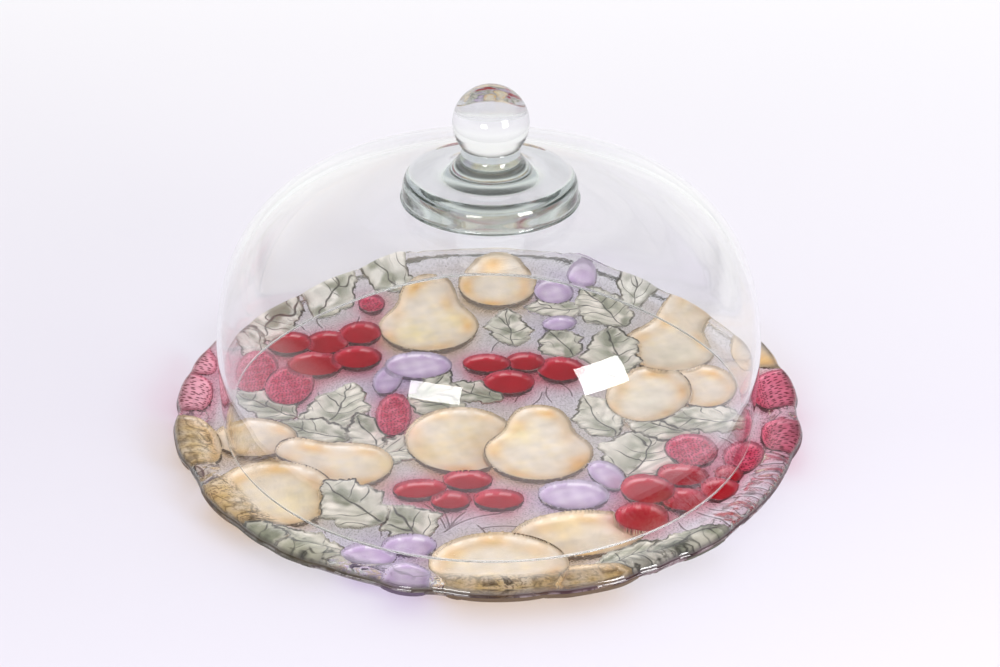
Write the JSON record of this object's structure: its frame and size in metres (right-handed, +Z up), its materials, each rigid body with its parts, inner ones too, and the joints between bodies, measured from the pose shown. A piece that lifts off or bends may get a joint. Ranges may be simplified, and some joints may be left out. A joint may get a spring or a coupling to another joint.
{
  "type": "cheese dome",
  "caption": "Clear glass dome with a ball knob that lifts off a round glass plate with coloured raised fruit under it.",
  "frame": {"origin": "on the table under the middle of the plate", "axes": "+Z up along the dome's axis, -Y towards the front"},
  "size_m": [0.3272, 0.3272, 0.1877],
  "materials": {
    "plate_glass": "pressed clear glass, stippled under",
    "cream_enamel": "fired-on gloss colour",
    "red_enamel": "fired-on gloss colour",
    "pink_enamel": "fired-on gloss colour",
    "lavender_enamel": "fired-on gloss colour",
    "green_enamel": "fired-on gloss colour",
    "dome_glass": "clear polished",
    "knob_glass": "clear polished"
  },
  "bodies": {
    "plate": {"cake_plate": "plate_glass", "pear_enamel": "cream_enamel", "berry_enamel": "red_enamel", "raspberry_enamel": "pink_enamel", "plum_enamel": "lavender_enamel", "leaf_enamel": "green_enamel"},
    "dome": {"dome_shell": "dome_glass", "knob_disc": "knob_glass", "knob_ball": "knob_glass"}
  },
  "joints": [
    {"name": "dome_lift", "type": "slide", "parent": "plate", "child": "dome", "axis": [0, 0, 1], "range_m": [0, 0.2]}
  ]
}
